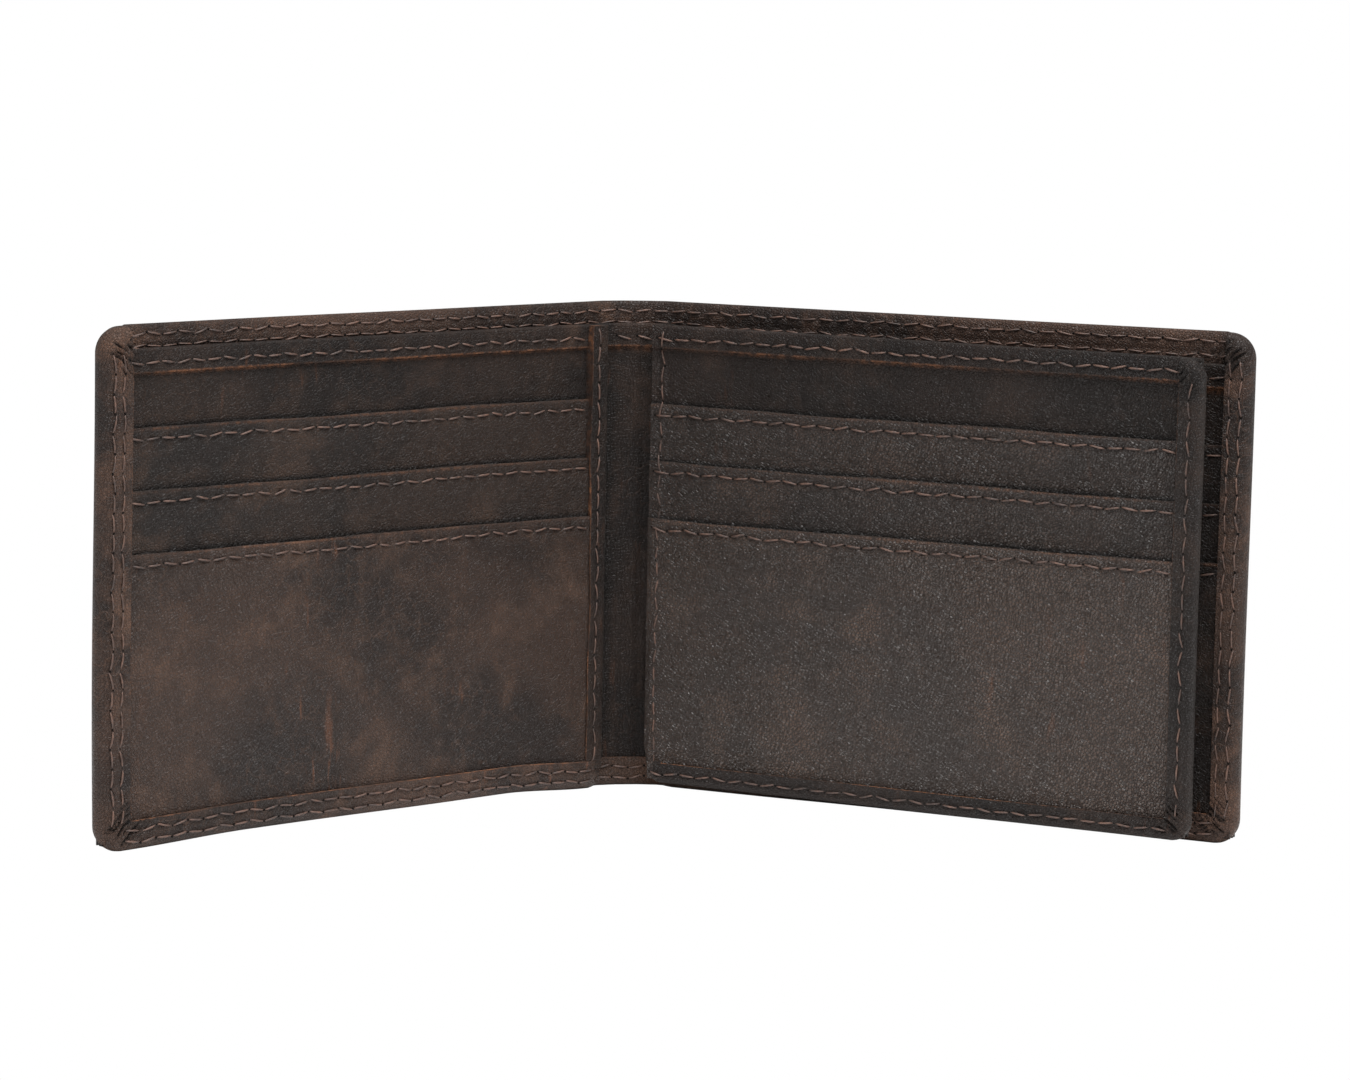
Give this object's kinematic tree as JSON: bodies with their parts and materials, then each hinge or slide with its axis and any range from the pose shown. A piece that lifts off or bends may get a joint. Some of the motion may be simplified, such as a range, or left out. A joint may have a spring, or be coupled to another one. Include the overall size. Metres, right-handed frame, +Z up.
{
  "type": "bifold wallet",
  "caption": "Open leather bifold wallet with a note compartment, card pockets on both halves and a swing page of card pockets.",
  "frame": {"origin": "middle of the base of the wallet as it stands open, on the plane that it stands on", "axes": "+X along the open wallet from the left half to the right half, +Z up, -Y towards the inside of the opening"},
  "size_m": [0.202, 0.0724, 0.09],
  "materials": {
    "cover_leather": "waxed dark brown, fine pebble grain, rubbed edges",
    "inner_leather": "waxed dark brown, smooth with faint creases",
    "pocket_leather": "waxed dark brown, satin, fine grain",
    "lining_cloth": "dark brown twill",
    "sewing_thread": "reddish brown polyester thread"
  },
  "bodies": {
    "spine_mid": {"cover_spine_mid": "cover_leather", "inner_wall_spine_mid": "inner_leather", "note_lining_spine_mid": "lining_cloth", "spine_stitching_mid": "sewing_thread"},
    "spine_left": {"cover_spine_left": "cover_leather", "inner_wall_spine_left": "inner_leather", "note_lining_spine_left": "lining_cloth", "spine_stitching_left": "sewing_thread"},
    "spine_right": {"cover_spine_right": "cover_leather", "inner_wall_spine_right": "inner_leather", "note_lining_spine_right": "lining_cloth", "spine_stitching_right": "sewing_thread"},
    "left_half": {"cover_left": "cover_leather", "inner_wall_left": "inner_leather", "left_card_panel": "inner_leather", "left_hem_stitching": "sewing_thread", "left_pocket_bottom": "pocket_leather", "left_pocket_middle": "pocket_leather", "left_pocket_stitching": "sewing_thread", "left_pocket_top": "pocket_leather", "left_top_stitching": "sewing_thread", "left_wall_stitching": "sewing_thread", "note_lining_left": "lining_cloth"},
    "right_half": {"cover_right": "cover_leather", "flap_hinge_margin": "inner_leather", "inner_wall_right": "inner_leather", "note_lining_right": "lining_cloth", "right_hem_stitching": "sewing_thread", "right_pocket_bottom": "pocket_leather", "right_pocket_middle": "pocket_leather", "right_pocket_stitching": "sewing_thread", "right_pocket_top": "pocket_leather", "right_top_stitching": "sewing_thread", "right_wall_stitching": "sewing_thread"},
    "flap": {"flap_back": "inner_leather", "flap_edge_stitching": "sewing_thread", "flap_panel": "inner_leather", "flap_pocket_bottom": "pocket_leather", "flap_pocket_middle": "pocket_leather", "flap_pocket_stitching": "sewing_thread", "flap_pocket_top": "pocket_leather"}
  },
  "joints": [
    {"name": "left_spine_bend", "type": "hinge", "parent": "spine_mid", "child": "spine_left", "pos_m": [-0.00225, 0.03468, 0], "axis": [0, 0, -1], "range_deg": [-19, 11]},
    {"name": "left_fold", "type": "hinge", "parent": "spine_left", "child": "left_half", "pos_m": [-0.00569, 0.03401, 0], "axis": [0, 0, -1], "range_deg": [-37, 23]},
    {"name": "right_spine_bend", "type": "hinge", "parent": "spine_mid", "child": "spine_right", "pos_m": [0.00225, 0.03468, 0], "axis": [0, 0, 1], "range_deg": [-19, 11]},
    {"name": "right_fold", "type": "hinge", "parent": "spine_right", "child": "right_half", "pos_m": [0.00569, 0.03401, 0], "axis": [0, 0, 1], "range_deg": [-37, 23]},
    {"name": "flap_turn", "type": "hinge", "parent": "right_half", "child": "flap", "pos_m": [0.00496, 0.02738, 0], "axis": [0, 0, -1], "range_deg": [-2.8, 97]}
  ]
}
